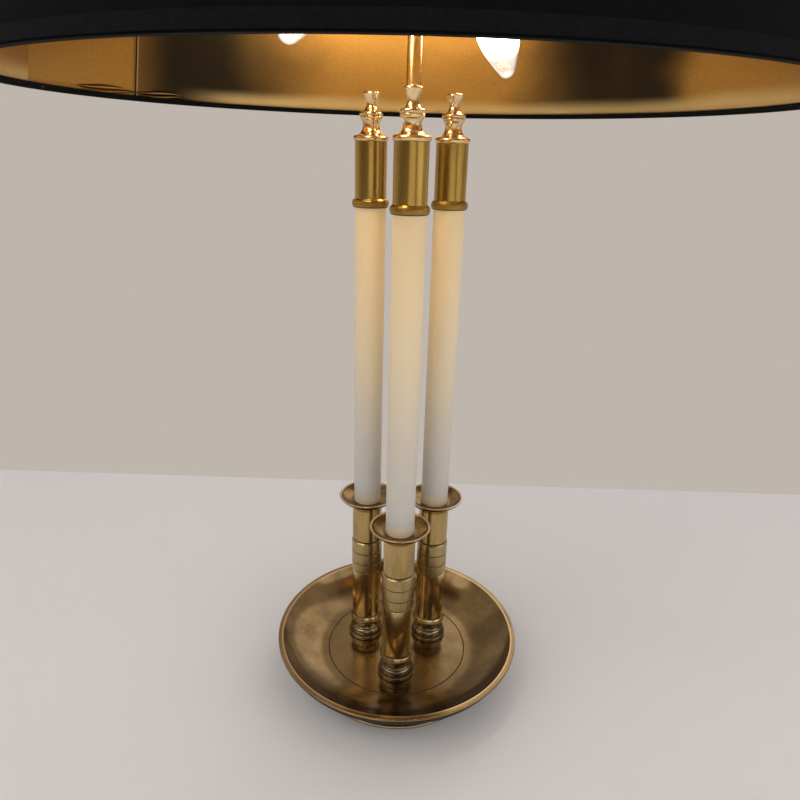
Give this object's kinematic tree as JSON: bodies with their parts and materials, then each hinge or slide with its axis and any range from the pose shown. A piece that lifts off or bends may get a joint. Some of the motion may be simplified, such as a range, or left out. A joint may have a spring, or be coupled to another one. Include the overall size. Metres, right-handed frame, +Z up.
{
  "type": "bouillotte table lamp",
  "caption": "Table lamp with mock candles on a round brass dish, a central stem, down-turned bulbs and a broad black gold-lined shade that slides and turns on the stem.",
  "frame": {"origin": "on the table under the middle of the felt pad, on the lamp's vertical axis", "axes": "+Z up along the stem; -Y towards the front candle and the viewer; +Y towards the cord inlet in the foot ring"},
  "size_m": [0.5439, 0.544, 0.8186],
  "materials": {
    "antique_brass": "brushed, aged",
    "dark_brass": "darkened cast",
    "patina_brass": "turned, dark patina",
    "golden_brass": "polished",
    "satin_brass": "satin",
    "aged_brass": "aged",
    "olive_brass": "satin lacquer",
    "polished_brass": "polished",
    "zinc_steel": "zinc plated",
    "iron_ballast": "raw",
    "brown_felt": "felt",
    "black_insulation": "moulded",
    "flex_sheath": "smooth",
    "ivory_sleeve": "satin",
    "nickel_cap": "nickel plated",
    "clear_glass": "clear",
    "lamp_filament": "glowing",
    "black_fabric": "matte weave",
    "gold_foil": "metallic foil",
    "charcoal_tape": "ribbed tape",
    "shade_wire": "gold lacquer"
  },
  "bodies": {
    "stand": {"felt_pad": "brown_felt", "base_cover": "zinc_steel", "foot_ring": "dark_brass", "cord_bushing": "black_insulation", "ballast_disc": "iron_ballast", "base_dish": "antique_brass", "stem_tube": "polished_brass", "stem_flange": "polished_brass", "stem_locknut": "zinc_steel", "lamp_flex": "flex_sheath", "tie_rods": "zinc_steel", "tie_rod_nuts": "zinc_steel", "cluster_body": "polished_brass", "stem_finial": "polished_brass", "candle_foot_front": "patina_brass", "lower_column_front": "golden_brass", "grooved_collar_front": "satin_brass", "upper_column_front": "satin_brass", "drip_cup_front": "aged_brass", "candle_sleeve_front": "ivory_sleeve", "candle_cap_front": "olive_brass", "candle_finial_front": "polished_brass", "candle_foot_right": "patina_brass", "lower_column_right": "golden_brass", "grooved_collar_right": "satin_brass", "upper_column_right": "satin_brass", "drip_cup_right": "aged_brass", "candle_sleeve_right": "ivory_sleeve", "candle_cap_right": "olive_brass", "candle_finial_right": "polished_brass", "candle_foot_left": "patina_brass", "lower_column_left": "golden_brass", "grooved_collar_left": "satin_brass", "upper_column_left": "satin_brass", "drip_cup_left": "aged_brass", "candle_sleeve_left": "ivory_sleeve", "candle_cap_left": "olive_brass", "candle_finial_left": "polished_brass", "lamp_arm_right": "polished_brass", "socket_shell_right": "satin_brass", "socket_liner_right": "black_insulation", "bulb_cap_right": "nickel_cap", "bulb_glass_right": "clear_glass", "bulb_filament_right": "lamp_filament", "lamp_arm_left": "polished_brass", "socket_shell_left": "satin_brass", "socket_liner_left": "black_insulation", "bulb_cap_left": "nickel_cap", "bulb_glass_left": "clear_glass", "bulb_filament_left": "lamp_filament"},
    "carriage": {"shade_carriage": "polished_brass", "carriage_capnut": "polished_brass"},
    "shade": {"shade_skin": "black_fabric", "shade_lining": "gold_foil", "shade_ring_bottom": "shade_wire", "shade_trim_bottom": "charcoal_tape", "shade_trim_top": "charcoal_tape", "shade_spider": "shade_wire"},
    "clamp_key": {"clamp_key": "polished_brass"},
    "switch_knob": {"switch_knob": "black_insulation"}
  },
  "joints": [
    {"name": "shade_height", "type": "slide", "parent": "stand", "child": "carriage", "axis": [0, 0, 1], "range_m": [-0.055, 0.04]},
    {"name": "shade_turn", "type": "hinge", "parent": "carriage", "child": "shade", "pos_m": [0, 0, 0.7325], "axis": [0, 0, 1], "continuous": true},
    {"name": "clamp_key_turn", "type": "hinge", "parent": "carriage", "child": "clamp_key", "pos_m": [0.01, -0.01732, 0.712], "axis": [0.5, -0.866, 0], "range_deg": [0, 360]},
    {"name": "switch_knob_turn", "type": "hinge", "parent": "stand", "child": "switch_knob", "pos_m": [0.0129, -0.0125, 0.6248], "axis": [0.7193, -0.6947, 0], "range_deg": [0, 90]}
  ]
}
